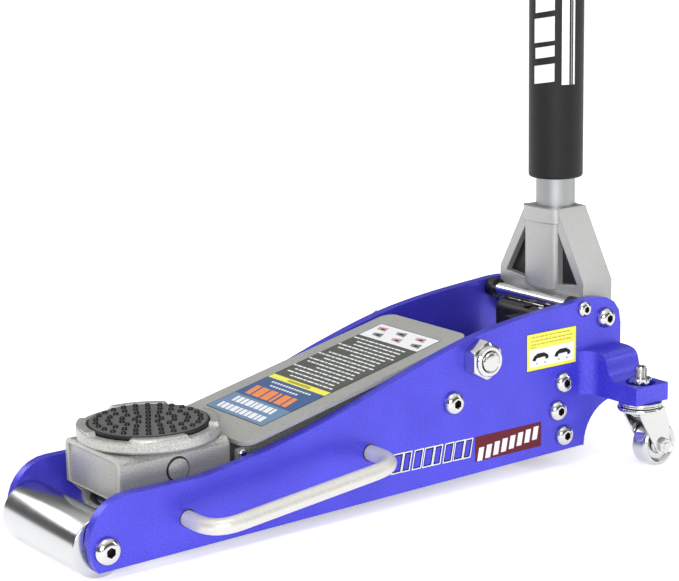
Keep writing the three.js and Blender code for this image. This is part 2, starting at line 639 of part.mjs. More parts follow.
// --- cross bar in front of the yoke ---
let bar = rodY(BAR.radius, -PLATE.inner + GAP, PLATE.inner - GAP, BAR.x, BAR.z);
for (const side of [-1, 1])
  bar = bar.subtract(rodY(3 + GAP, ...span(side, 42, 60), BAR.x, BAR.z, 12));
add("cross_bar", bar, FINISH.chrome);
for (const [word, side] of SIDES) {
  const [y0, y1] = span(side, BAR.half, PLATE.inner - GAP);
  const sleeve = rodY(BAR.sleeveRadius, y0, y1, BAR.x, BAR.z);
  const hole = rodY(BAR.radius + GAP, y0 - 1, y1 + 1, BAR.x, BAR.z);
  add("cross_bar_sleeve_" + word, sleeve.subtract(hole), FINISH.plastic);
  const at = [BAR.x, BAR.z];
  add("cross_bar_screw_" + word, buttonScrew(side, at, 6.6, 3.8, 3, 44), FINISH.zinc);
}

// --- two-piece handle ---
function tube(radius, wall, z0, z1, sides = 24) {
  const inside = rodZ(radius - wall, z0 - 1, z1 + 1, HANDLE.x, 0, sides);
  return rodZ(radius, z0, z1, HANDLE.x, 0, sides).subtract(inside);
}
const lowerTube = tube(HANDLE.radius, HANDLE.wall, HANDLE.bottom, HANDLE.lowerTop);
add("handle_lower_tube", lowerTube, FINISH.tube);
const upperTube = tube(HANDLE.upperRadius, HANDLE.wall, HANDLE.upperBottom, HANDLE.upperTop);
add("handle_upper_tube", upperTube, FINISH.tube);
const sleeveWall = HANDLE.sleeveRadius - HANDLE.radius - GAP;
add(
  "handle_sleeve",
  tube(HANDLE.sleeveRadius, sleeveWall, HANDLE.sleeveBottom, HANDLE.sleeveTop),
  FINISH.foam,
);
const gripCore = rodZ(
  HANDLE.upperRadius + GAP,
  HANDLE.gripBottom - 1,
  HANDLE.upperTop + GAP,
  HANDLE.x,
  0,
  24,
);
const gripBody = rodZ(HANDLE.gripRadius, HANDLE.gripBottom, HANDLE.top, HANDLE.x, 0, 24);
add("handle_grip", gripBody.subtract(gripCore), FINISH.rubber);

// --- side carrying handle ---
function sideHandle() {
  const [frontX, frontZ] = SIDE_HANDLE.front;
  const [rearX, rearZ] = SIDE_HANDLE.rear;
  const face = -PLATE.outer - GAP;
  const out = -PLATE.outer - SIDE_HANDLE.reach;
  const run = new THREE.Vector3(rearX - frontX, 0, rearZ - frontZ).normalize();
  const foot = [new THREE.Vector3(frontX, face, frontZ), new THREE.Vector3(rearX, face, rearZ)];
  const corner = foot.map((p) => new THREE.Vector3(p.x, out, p.z));
  const turnIn = corner.map((p) => p.clone().setY(out + SIDE_HANDLE.bend));
  const turnOut = [
    corner[0].clone().addScaledVector(run, SIDE_HANDLE.bend),
    corner[1].clone().addScaledVector(run, -SIDE_HANDLE.bend),
  ];
  const path = new THREE.CurvePath();
  path.add(new THREE.LineCurve3(foot[0], turnIn[0]));
  path.add(new THREE.QuadraticBezierCurve3(turnIn[0], corner[0], turnOut[0]));
  path.add(new THREE.LineCurve3(turnOut[0], turnOut[1]));
  path.add(new THREE.QuadraticBezierCurve3(turnOut[1], corner[1], turnIn[1]));
  path.add(new THREE.LineCurve3(turnIn[1], foot[1]));
  const section = new THREE.Shape();
  section.absarc(0, 0, SIDE_HANDLE.radius, 0, 2 * Math.PI, false);
  return solid(
    new THREE.ExtrudeGeometry(section, { steps: 32, curveSegments: 5, extrudePath: path }),
  );
}
add("side_handle", sideHandle(), FINISH.tube);

// --- rear casters ---
function casterFork(y) {
  const { x, trail } = CASTER;
  let made = rodZ(CASTER.discRadius, 50, 53.8, x, y, 24);
  for (const side of [-1, 1]) {
    const leg = new THREE.Shape();
    leg.absarc(x + trail, CASTER.wheelRadius, 8, Math.PI * 1.1, Math.PI * 2.1, false);
    leg.lineTo(x + 17, 52);
    leg.lineTo(x - 10, 52);
    const [y0, y1] = span(side, 9, 11.2);
    made = made.add(slabY(leg, y + y0, y + y1, 5));
    const axleHole = rodY(4 + GAP, y + y0 - 1, y + y1 + 1, x + trail, CASTER.wheelRadius, 12);
    made = made.subtract(axleHole);
  }
  return made.subtract(rodZ(5 + GAP, 40, 60, x, y, 14));
}

function casterStem(y) {
  const { x } = CASTER;
  const shank = rodZ(5, 46, 87, x, y, 12);
  const race = rodZ(CASTER.discRadius - 1, 54.2, EAR.bottom - GAP, x, y, 24);
  const foot = rodZ(8.5, 45, 49.6, x, y, 6);
  const nut = rodZ(9.6, EAR.top - 4.5 + GAP, 80, x, y, 6);
  const collar = rodZ(8, 79, 83, x, y, 14);
  return shank.add(race).add(foot).add(nut).add(collar);
}

function casterWheel(y) {
  const { x, trail, wheelRadius, wheelHalf } = CASTER;
  const r = wheelRadius;
  const profile = [
    [4.3, -wheelHalf],
    [r - 1.5, -wheelHalf],
    [r, -wheelHalf + 2],
    [r, wheelHalf - 2],
    [r - 1.5, wheelHalf],
    [4.3, wheelHalf],
    [4.3, -wheelHalf],
  ];
  return turnedY(profile, x + trail, r, y, 1, 28);
}

function casterAxle(y) {
  const at = [CASTER.x + CASTER.trail, CASTER.wheelRadius];
  let made = rodY(4, y - 13.3, y + 13.3, ...at, 12);
  for (const side of [-1, 1]) {
    const [y0, y1] = span(side, 11.5, 13.5);
    made = made.add(rodY(6.9, y + y0, y + y1, ...at, 6));
  }
  return made;
}

for (const [word, side] of SIDES) {
  const y = side * CASTER.y;
  add("caster_stem_" + word, casterStem(y), FINISH.zinc);
  add("caster_fork_" + word, casterFork(y), FINISH.chrome);
  add("caster_wheel_" + word, casterWheel(y), FINISH.steel);
  add("caster_axle_" + word, casterAxle(y), FINISH.zinc);
}

export default jack;
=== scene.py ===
"""Low-profile hydraulic floor jack: the looks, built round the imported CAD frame. Metres, +Z up."""
import json
import math

import bmesh
import bpy
from mathutils import Matrix, Vector


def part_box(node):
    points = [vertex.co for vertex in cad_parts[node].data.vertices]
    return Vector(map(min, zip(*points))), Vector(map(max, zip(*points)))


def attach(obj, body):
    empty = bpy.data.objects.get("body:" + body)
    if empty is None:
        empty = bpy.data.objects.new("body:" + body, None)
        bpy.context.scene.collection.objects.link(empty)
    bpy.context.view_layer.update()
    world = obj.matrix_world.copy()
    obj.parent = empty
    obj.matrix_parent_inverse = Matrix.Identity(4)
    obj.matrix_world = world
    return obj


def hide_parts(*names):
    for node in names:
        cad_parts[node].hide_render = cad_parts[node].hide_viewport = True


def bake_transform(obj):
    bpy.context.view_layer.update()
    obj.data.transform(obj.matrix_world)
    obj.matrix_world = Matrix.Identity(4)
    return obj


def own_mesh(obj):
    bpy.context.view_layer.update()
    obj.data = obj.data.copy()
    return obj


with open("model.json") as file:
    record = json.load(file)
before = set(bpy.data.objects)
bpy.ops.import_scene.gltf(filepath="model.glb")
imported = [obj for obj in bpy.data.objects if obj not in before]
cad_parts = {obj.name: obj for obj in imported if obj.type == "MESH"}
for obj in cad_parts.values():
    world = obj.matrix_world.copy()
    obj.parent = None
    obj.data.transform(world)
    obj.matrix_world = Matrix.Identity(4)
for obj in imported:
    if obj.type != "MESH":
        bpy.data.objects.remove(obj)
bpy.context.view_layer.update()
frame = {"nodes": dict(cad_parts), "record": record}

MM = 0.001
PLATE_FACE = 63.0  # outer faces of the side plates, either side of the middle, in mm
NODES = frame["nodes"]
SIDES = (("near", -1), ("far", 1))


def centre(node):
    low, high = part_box(node)
    return (low + high) / 2


def size(node):
    low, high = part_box(node)
    return high - low


# Stations along the jack, in millimetres, are counted from the front roller's axis.
ROLLER_X = centre("front_roller").x


def at(x, y=0.0, z=0.0):
    return Vector((ROLLER_X + x * MM, y * MM, z * MM))


# ---------- materials ----------
def rgb(red, green, blue):
    """A display colour, 0 to 255, as the linear colour that a shader takes."""
    linear = []
    for channel in (red, green, blue):
        c = channel / 255
        linear.append(c / 12.92 if c <= 0.04045 else ((c + 0.055) / 1.055) ** 2.4)
    return (*linear, 1.0)


class Recipe:
    """Node-building shorthand for one material. Edges are rounded in the shading by `edge` mm."""

    def __init__(self, name, roughness, metallic, edge=0.0, **sockets):
        self.material = bpy.data.materials.new(name)
        self.material.use_nodes = True
        self.tree = self.material.node_tree
        self.shader = self.tree.nodes["Principled BSDF"]
        self.shader.inputs["Roughness"].default_value = roughness
        self.shader.inputs["Metallic"].default_value = metallic
        for socket, value in sockets.items():
            self.shader.inputs[socket.replace("_", " ")].default_value = value
        self.place = self.tree.nodes.new("ShaderNodeTexCoord").outputs["Object"]
        self.normal = None
        if edge:
            round_edge = self.tree.nodes.new("ShaderNodeBevel")
            round_edge.samples = 6
            round_edge.inputs["Radius"].default_value = edge * MM
            self.normal = round_edge.outputs["Normal"]
            self.link(self.normal, self.shader.inputs["Normal"])

    def node(self, kind, **settings):
        made = self.tree.nodes.new(kind)
        for key, value in settings.items():
            if hasattr(made, key):
                setattr(made, key, value)
            else:
                made.inputs[key.replace("_", " ").title()].default_value = value
        return made

    def link(self, source, target):
        self.tree.links.new(source, target)

    def stretched(self, scale):
        """Object coordinates scaled by a factor along each axis."""
        mapping = self.node("ShaderNodeMapping")
        mapping.inputs["Scale"].default_value = scale
        self.link(self.place, mapping.inputs["Vector"])
        return mapping.outputs["Vector"]

    def noise(self, per_metre, detail=2.0, along=(1, 1, 1)):
        made = self.node("ShaderNodeTexNoise", scale=per_metre, detail=detail)
        self.link(self.stretched(along), made.inputs["Vector"])
        return made.outputs["Fac"]

    def ramp(self, source, stops):
        made = self.node("ShaderNodeValToRGB")
        stops = sorted(stops)
        band = made.color_ramp
        while len(band.elements) < len(stops):
            band.elements.new(0.5)
        for element, (spot, colour) in zip(band.elements, stops):
            element.position = spot
            element.color = colour
        self.link(source, made.inputs["Fac"])
        return made.outputs["Color"]

    def colour(self, source):
        self.link(source, self.shader.inputs["Base Color"])

    def mix(self, fac, a, b):
        made = self.node("ShaderNodeMix", data_type="RGBA")
        for socket, value in ((made.inputs[0], fac), (made.inputs[6], a), (made.inputs[7], b)):
            if isinstance(value, (int, float, tuple)):
                socket.default_value = value
            else:
                self.link(value, socket)
        return made.outputs[2]

    def rough(self, source, low, high):
        made = self.node("ShaderNodeMapRange")
        made.inputs["To Min"].default_value = low
        made.inputs["To Max"].default_value = high
        self.link(source, made.inputs["Value"])
        self.link(made.outputs["Result"], self.shader.inputs["Roughness"])

    def bump(self, source, height, strength=1.0):
        made = self.node("ShaderNodeBump")
        made.inputs["Strength"].default_value = strength
        made.inputs["Distance"].default_value = height
        self.link(source, made.inputs["Height"])
        if self.normal:
            self.link(self.normal, made.inputs["Normal"])
        self.link(made.outputs["Normal"], self.shader.inputs["Normal"])


def grainy(name, dark, light, roughness, metallic, per_metre, bump, edge=0.0, spread=0.14, **sockets):
    """A finish with a fine two-tone grain and a matching bump."""
    r = Recipe(name, roughness, metallic, edge, **sockets)
    grain = r.noise(per_metre, 3.0)
    cloud = r.noise(per_metre / 40, 2.0)
    both = r.mix(0.2, grain, cloud)
    r.colour(r.ramp(both, [(0.5 - spread, dark), (0.5 + spread, light)]))
    r.rough(grain, roughness - 0.06, roughness + 0.1)
    r.bump(grain, bump)
    return r.material


def polished(name, colour, roughness, edge=0.0, **sockets):
    """A smooth bright metal with a faint unevenness in its polish."""
    r = Recipe(name, roughness, 1.0, edge, **sockets)
    r.shader.inputs["Base Color"].default_value = colour
    r.rough(r.noise(60.0, 1.0), roughness - 0.02, roughness + 0.03)
    return r.material


def printed(name, colour):
    """Flat printing ink with a slight sheen."""
    r = Recipe(name, 0.5, 0.0, Specular_IOR_Level=0.25)
    tone = r.noise(300.0)
    dull = tuple(0.93 * c for c in colour[:3]) + (1.0,)
    r.colour(r.ramp(tone, [(0.3, dull), (0.7, colour)]))
    return r.material


M = {
    "blue": grainy(
        "blue_anodised", rgb(44, 38, 176), rgb(84, 80, 232), 0.34, 0.35, 1000, 0.00003, 0.7, 0.2,
        Coat_Weight=0.25, Coat_Roughness=0.2,
    ),
    "silver": grainy("silver_paint", rgb(150, 150, 146), rgb(200, 200, 195), 0.33, 0.45, 1000, 0.00006, 0.8),
    "smooth": grainy("smooth_silver", rgb(164, 164, 160), rgb(196, 196, 192), 0.34, 0.4, 900, 0.00003, 0.8),
    "cover": grainy(
        "cover_paint", rgb(152, 152, 149), rgb(174, 174, 171), 0.5, 0.15, 1000, 0.00002, 0.8,
        Specular_IOR_Level=0.25,
    ),
    "arm": grainy("arm_paint", rgb(92, 92, 87), rgb(150, 150, 144), 0.4, 0.4, 900, 0.00008, 0.5),
    "casting": grainy("yoke_casting", rgb(176, 176, 175), rgb(184, 184, 183), 0.34, 0.5, 500, 0.000004, 1.2),
    "dark": grainy("dark_casting", rgb(26, 26, 23), rgb(46, 46, 40), 0.36, 0.2, 500, 0.00004, 0.8),
    "zinc": polished("zinc_plate", rgb(206, 206, 204), 0.14, 0.35),
    "chrome": polished("chrome", rgb(214, 215, 217), 0.16),
    "roller": polished("roller_chrome", rgb(196, 197, 198), 0.2),
    "steel": grainy("plain_steel", rgb(84, 84, 84), rgb(118, 118, 118), 0.34, 0.9, 500, 0.00001, 0.4),
    "tube": polished("handle_tube", rgb(168, 169, 170), 0.44),
    "pearl": grainy("pearl_silver", rgb(204, 202, 196), rgb(214, 212, 206), 0.34, 0.3, 500, 0.000002),
    "foam": grainy(
        "foam", rgb(14, 14, 14), rgb(26, 26, 26), 0.46, 0.0, 1600, 0.00005, Specular_IOR_Level=0.3,
    ),
    "rubber": grainy("rubber", rgb(22, 22, 22), rgb(42, 42, 41), 0.55, 0.0, 1200, 0.00008, 0.4),
    "pad": grainy("pad_rubber", rgb(82, 82, 81), rgb(102, 102, 101), 0.5, 0.0, 900, 0.00006),
    # Black plastic; also used as painted shadow round the carrying handle's feet and as painted shade in the
    # yoke's windows.
    "black": grainy("black_plastic", rgb(8, 8, 8), rgb(18, 18, 17), 0.4, 0.0, 900, 0.00003, 0.4),
    "wheel": polished("wheel_steel", rgb(198, 200, 202), 0.2),
    "ink_white": printed("ink_white", rgb(236, 238, 240)),
    "ink_grey": printed("ink_grey", rgb(134, 134, 129)),
    # Dark print ink; the screw sockets also take it as painted shade inside the recess.
    "dark_ink_and_shade": printed("dark_ink_and_shade", rgb(22, 22, 26)),
    "ink_sky": printed("ink_sky", rgb(112, 140, 172)),
    "ink_blue": printed("ink_blue", rgb(72, 98, 142)),
    "ink_orange": printed("ink_orange", rgb(238, 142, 84)),
    "ink_yellow": printed("ink_yellow", rgb(240, 234, 96)),
    "ink_red": printed("ink_red", rgb(100, 20, 38)),
    "ink_brown": printed("ink_brown", rgb(176, 164, 78)),
    "ink_slate": printed("ink_slate", rgb(88, 90, 84)),
    "ink_pink": printed("ink_pink", rgb(206, 158, 162)),
    "ink_steel": printed("ink_steel", rgb(70, 66, 206)),
}
SLOT_FINISH = {
    "blue_plate": "blue", "silver_paint": "silver", "dark_paint": "dark", "zinc_plate": "zinc",
    "chrome_roller": "roller", "chrome_rod": "chrome", "caster_chrome": "zinc",
    "wheel_steel": "wheel", "steel": "steel", "handle_tube": "tube", "satin_tube": "pearl",
    "rubber_pad": "pad", "grip_rubber": "rubber", "foam_sleeve": "foam", "black_plastic": "black",
    "cast_yoke": "casting",
}
NODE_FINISH = {
    "arm_cover": "cover", "arm_side_near": "arm", "arm_side_far": "arm",
    "arm_tongue_near": "arm", "arm_tongue_far": "arm",
}
SLOT_OF = {row["node"]: row["material_slot"] for row in frame["record"]["subparts"]}
BODY_OF = {
    node: body for body, members in frame["record"]["behaviour"]["bodies"].items() for node in members
}


# ---------- CAD nodes that stay: smooth curves, crisp corners and a finish ----------
def dress(node):
    piece = NODES[node]
    piece.data.materials.clear()
    piece.data.materials.append(M[NODE_FINISH.get(node, SLOT_FINISH[SLOT_OF[node]])])
    weld = piece.modifiers.new("weld", "WELD")
    weld.merge_threshold = 0.00002
    split = piece.modifiers.new("split", "EDGE_SPLIT")
    split.split_angle = math.radians(50 if node == "handle_yoke" else 32)
    even = piece.modifiers.new("even", "WEIGHTED_NORMAL")
    even.keep_sharp = True
    for face in piece.data.polygons:
        face.use_smooth = True


for name in NODES:
    dress(name)


# ---------- piece builders ----------
def finish_mesh(bm, name, angle=32):
    bmesh.ops.recalc_face_normals(bm, faces=bm.faces)
    mesh = bpy.data.meshes.new(name)
    bm.to_mesh(mesh)
    bm.free()
    mesh.shade_smooth()
    mesh.set_sharp_from_angle(angle=math.radians(angle))
    return mesh


def put(name, mesh, material, body, stands_for=()):
    """Adds a mesh that is already in the row frame, riding on a body."""
    obj = bpy.data.objects.new(name, mesh)
    bpy.context.scene.collection.objects.link(obj)
    for one in [material] if isinstance(material, str) else material:
        mesh.materials.append(M[one])
    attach(obj, body)
    if stands_for:
        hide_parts(*stands_for)
    return obj


AXES = {
    "x": Matrix(((0, 0, 1), (1, 0, 0), (0, 1, 0))),
    "y": Matrix(((1, 0, 0), (0, 0, 1), (0, 1, 0))),
    "z": Matrix.Identity(3),
}


def placed(mesh, origin, axis, side=1):
    """Stands a mesh drawn round +Z on an axis of the row frame, with its height towards that side."""
    turn = AXES[axis] @ Matrix.Diagonal((1, 1, side))
    mesh.transform(Matrix.Translation(origin) @ turn.to_4x4())
    if turn.determinant() < 0:
        mesh.flip_normals()
    return mesh


def spun(name, rings, segments=72, angle=32, second=None):
    """Rings of (radius, height) in mm about +Z. A third figure is half the width of a hexagon that
    clips the ring. A height may be a function of the angle. Faces from ring number `second` on take
    the second material."""
    bm = bmesh.new()
    rows = []
    for radius, height, *flat in rings:
        row = []
        for i in range(segments if radius else 1):
            turn = 2 * math.pi * i / segments
            r = radius
            if flat:
                local = (turn + math.pi / 6) % (math.pi / 3) - math.pi / 6
                r = min(radius, flat[0] / math.cos(local))
            h = height(turn) if callable(height) else height
            row.append(bm.verts.new((r * math.cos(turn) * MM, r * math.sin(turn) * MM, h * MM)))
        rows.append(row)
    for number, (low, high) in enumerate(zip(rows, rows[1:])):
        for i in range(segments):
            j = (i + 1) % segments
            corners = [low[i % len(low)], low[j % len(low)], high[j % len(high)], high[i % len(high)]]
            corners = list(dict.fromkeys(corners))
            if len(corners) > 2:
                bm.faces.new(corners).material_index = int(second is not None and number >= second)
    return finish_mesh(bm, name, angle)


def slab(name, outlines, thickness, edge=0.5):
    """A plate of outlines drawn in mm round +Z, its height from 0 to thickness, with rounded edges."""
    curve = bpy.data.curves.new(name, "CURVE")
    curve.dimensions = "2D"
    curve.fill_mode = "BOTH"
    curve.extrude = (thickness / 2 - edge) * MM
    curve.bevel_depth = edge * MM
    curve.bevel_resolution = 2
    curve.offset = -edge * MM
    for outline in outlines:
        spline = curve.splines.new("POLY")
        spline.points.add(len(outline) - 1)
        for point, (u, v) in zip(spline.points, outline):
            point.co = (u * MM, v * MM, 0, 1)
        spline.use_cyclic_u = True
    holder = bpy.data.objects.new(name, curve)
    mesh = bpy.data.meshes.new_from_object(holder)
    bpy.data.objects.remove(holder)
    mesh.transform(Matrix.Translation((0, 0, thickness / 2 * MM)))
    bm = bmesh.new()
    bm.from_mesh(mesh)
    bmesh.ops.remove_doubles(bm, verts=bm.verts, dist=0.000002)
    return finish_mesh(bm, name, 40)


def swept(name, points, radius, steps=6):
    """A round rod of that radius in mm along points in the row frame."""
    curve = bpy.data.curves.new(name, "CURVE")
    curve.dimensions = "3D"
    curve.bevel_depth = radius * MM
    curve.bevel_resolution = steps
    curve.use_fill_caps = True
    spline = curve.splines.new("POLY")
    spline.points.add(len(points) - 1)
    for point, spot in zip(spline.points, points):
        point.co = (*spot, 1)
    holder = bpy.data.objects.new(name, curve)
    mesh = bpy.data.meshes.new_from_object(holder)
    bpy.data.objects.remove(holder)
    mesh.shade_smooth()
    mesh.set_sharp_from_angle(angle=math.radians(50))
    return mesh


def arc(u, v, radius, start, end, steps=8):
    """Points round a circle, from one angle to another in degrees."""
    turns = [math.radians(start + (end - start) * i / steps) for i in range(steps + 1)]
    return [(u + radius * math.cos(t), v + radius * math.sin(t)) for t in turns]


def softened(points, radius, steps=3):
    """A profile with its inner corners cut into short arcs."""
    out = [points[0]]
    for a, b, c in zip(points, points[1:], points[2:]):
        a, b, c = Vector(a), Vector(b), Vector(c)
        reach = min(radius, (a - b).length * 0.45, (c - b).length * 0.45)
        p = b + (a - b).normalized() * reach
        q = b + (c - b).normalized() * reach
        for i in range(steps + 1):
            t = i / steps
            out.append(tuple(p * (1 - t) ** 2 + b * 2 * t * (1 - t) + q * t * t))
    return out + [points[-1]]


def inked(name, patches, to_row, body):
    """Printed shapes on a face. A patch is (ink, layer, [(u, v), ...]) in mm; to_row gives its place."""
    bm = bmesh.new()
    inks = []
    for ink, layer, outline in patches:
        if ink not in inks:
            inks.append(ink)
        face = bm.faces.new([bm.verts.new(to_row(u, v, 0.08 + 0.05 * layer)) for u, v in outline])
        face.material_index = inks.index(ink)
    mesh = bpy.data.meshes.new(name)
    bm.to_mesh(mesh)
    bm.free()
    return put(name, mesh, inks, body)


def bar_patch(ink, layer, u0, v0, u1, v1, slant=0.0):
    return (ink, layer, [(u0, v0), (u1, v0), (u1 + slant, v1), (u0 + slant, v1)])


# ---------- front roller ----------
def roller():
    radius = size("front_roller").z / 2 / MM
    half = size("front_roller").y / 2 / MM
    rings = softened([(9.3, -half), (radius, -half), (radius, half), (9.3, half)], 1.6, 4)
    mesh = spun("roller", rings + [rings[0]], 128)
    put("roller", placed(mesh, centre("front_roller"), "y"), "roller", "front_roller", ["front_roller"])
    for word, side in SIDES:
        ring = spun("roller_washer_" + word, softened([(6.3, 0), (15, 0), (15, 0.8), (6.3, 0.8)], 0.3, 2))
        origin = at(0, side * (half + 0.02), radius)
        put("roller_washer_" + word, placed(ring, origin, "y", side), "steel", "frame")


roller()


# ---------- screws, nut and pivot bolt ----------
def screw(node, socket):
    """A button-head socket screw: a low dome with a flat rim and a hexagonal recess, its inside coloured dark
    as painted shade.
    """
    low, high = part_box(node)
    side = -1 if centre(node).y < 0 else 1
    face = 63.3 * side
    outer = (high.y if side > 0 else low.y) / MM
    tip = (low.y if side > 0 else high.y) / MM
    head = size(node).z / 2 / MM
    height = abs(outer - face)
    shank = min(5.0, head * 0.45)
    flat = socket * head
    rings = [(0, -abs(tip - face)), (shank, -abs(tip - face)), (shank, 0), (head - 0.2, 0), (head, 0.2)]
    for i in range(1, 12):
        swing = math.radians(7.4 * i)
        out = flat * 1.2 + (head - flat * 1.2) * math.cos(swing)
        rings.append((out, 0.2 + (height - 0.2) * math.sin(swing)))
    rings += [(flat * 1.2, height), (flat * 1.17, height - 0.1, flat * 1.02)]
    # The faces inside the hexagonal socket take the dark second material: painted shade.
    recess = len(rings) - 1
    rings += [(flat * 1.16, height - 0.5, flat), (flat * 1.16, height * 0.3, flat), (0, height * 0.25)]
    mesh = spun(node + "_head", rings, 72, 28, recess + 1)
    origin = Vector((centre(node).x, face * MM, centre(node).z))
    put(node + "_head", placed(mesh, origin, "y", side), ["zinc", "dark_ink_and_shade"], BODY_OF[node], [node])


for word, _ in SIDES:
    screw("roller_bolt_" + word, 0.33)
    for place in ("top", "middle", "low"):
        screw(f"power_unit_bolt_{place}_{word}", 0.34)
    screw("link_bolt_" + word, 0.34)
    screw("yoke_bolt_" + word, 0.34)
    screw("cross_bar_screw_" + word, 0.36)


def pivot_hardware():
    """The arm's pivot: a hexagon-head bolt from the far side, a lock nut with a collar on the near side."""
    pivot = centre("arm_pivot_bolt")
    x, z = pivot.x, pivot.z
    nut = [(8.4, 0), (16.2, 0, 14.05), (16.2, 10.4, 14.05), (15.2, 11.5, 13.9), (13.4, 12.1), (12.7, 12.4)]
    nut += [(12.5, 14.4), (11.6, 15.4), (9.4, 15.4), (8.4, 14.4)]
    made = placed(spun("pivot_nut", nut + [nut[0]], 72, 24), Vector((x, -63.3 * MM, z)), "y", -1)
    put("pivot_nut", made, "zinc", BODY_OF["arm_pivot_nut"], ["arm_pivot_nut"])
    bolt = [(0, 10), (9, 10), (13.2, 9.6, 13.2), (16, 8.4, 14), (16, 0.8, 14), (13, 0.2), (8, 0)]
    bolt += [(8, -142.6), (7.2, -143.8), (6, -144.2), (0, -144.4)]
    made = placed(spun("pivot_bolt", bolt, 72, 24), Vector((x, 63.3 * MM, z)), "y", 1)
    put("pivot_bolt", made, "zinc", BODY_OF["arm_pivot_bolt"], ["arm_pivot_bolt"])


pivot_hardware()


# ---------- saddle ----------
def saddle():
    spot = centre("saddle_dish")
    radius = size("saddle_dish").x / 2 / MM
    axis = Vector((spot.x, 0, 0))

    def rim(low, high):
        """Four raised lips with lower gaps between them."""

        def height(turn):
            away = abs((math.degrees(turn) - 68 + 45) % 90 - 45)
            return low + (high - low) * min(1, max(0, (25.5 - away) / 1.5))

        return height

    rings = [(0, 70.6), (8, 70.6), (8, 80.3), (36, 80.3), (36, 81), (radius - 1.6, 81), (radius, 82.6)]
    rings += [(radius, 88.4), (radius, rim(88.8, 91.0)), (radius - 0.4, rim(89.2, 91.9))]
    rings += [(radius - 1.2, rim(89.5, 92.4)), (radius - 2, rim(89.6, 92.5)), (47.6, rim(89.6, 92.5))]
    rings += [(46.7, rim(89.4, 92.2)), (46.4, rim(88.8, 91.4)), (46.3, 84.5), (0, 84.5)]
    dish = placed(spun("saddle_ring", rings, 240, 38), axis, "z")
    put("saddle_ring", dish, "silver", "saddle", ["saddle_dish"])
    base = [(0, 84.8), (45.9, 84.8), (46, 91.2), (45.4, 92.1), (44.6, 92.4)]
    put("saddle_pad_body", placed(spun("saddle_pad_body", base + [(0, 92.4)], 120), axis, "z"), "black",
        "saddle", ["saddle_pad"])
    face = spun("saddle_pad_face", [(0, 92.42), (44.6, 92.42), (44.6, 92.5), (0, 92.5)], 120)
    put("saddle_pad_face", placed(face, axis, "z"), "pad", "saddle")
    stud = softened([(2.2, 0), (1.9, 1.9), (0, 1.9)], 0.6, 3)
    bm = bmesh.new()
    for ring, count in ((0, 1), (10, 8), (20, 14), (30, 20), (39.5, 26)):
        for i in range(count):
            turn = 2 * math.pi * (i + 0.3) / count
            one = spun("stud", stud, 12)
            one.transform(Matrix.Translation((ring * math.cos(turn) * MM, ring * math.sin(turn) * MM, 0)))
            bm.from_mesh(one)
            bpy.data.meshes.remove(one)
    mesh = finish_mesh(bm, "saddle_studs", 50)
    put("saddle_studs", placed(mesh, axis + Vector((0, 0, 92.48 * MM)), "z"), "black", "saddle")


saddle()


# ---------- saddle head ----------
def saddle_head():
    """The pressed rim round the head's front panel, and the faces of its two pins."""
    low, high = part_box("saddle_head")
    half, top = high.y / MM, high.z / MM
    front = low.x

    def hood(w, t, r, bottom):
        return [(-w, bottom), *arc(-w + r, t - r, r, 180, 90), *arc(w - r, t - r, r, 90, 0), (w, bottom)]

    outlines = [hood(half, top, 7, 45), hood(half - 4.6, top - 4.6, 3, 45.8)]
    outlines[1] = outlines[1][::-1]
    rim = placed(slab("head_rim", outlines, 2.2, 0.7), Vector((front - 1.7 * MM, 0, 0)), "x")
    put("head_rim", rim, "smooth", "head")
    for node, finish, shank in (("head_pin", "silver", 6), ("link_pin", "steel", 5.5)):
        spot = centre(node)
        reach = size(node).y / 2 / MM
        radius = size(node).z / 2 / MM
        face = half + 0.3
        profile = [(0, reach), *[(radius * 0.2 * i, reach - 1.2 * (0.2 * i) ** 2) for i in range(1, 5)]]
        profile += [(radius, reach - 1.6), (radius, face), (shank, face), (shank, -face), (radius, -face)]
        profile += [(radius, -reach + 1.6), (0, -reach)]
        put(node + "_turned", placed(spun(node + "_turned", profile, 60), spot, "y"), finish,
            BODY_OF[node], [node])
        for word, side in SIDES:
            inner, outer = radius + 0.05, radius + 1.3
            ring = spun("ring", [(inner, 0), (outer, 0), (outer, 0.25), (inner, 0.25)])
            origin = Vector((spot.x, side * (half + 0.05) * MM, spot.z))
            put(f"{node}_ring_{word}", placed(ring, origin, "y", side), "black", BODY_OF[node])


saddle_head()


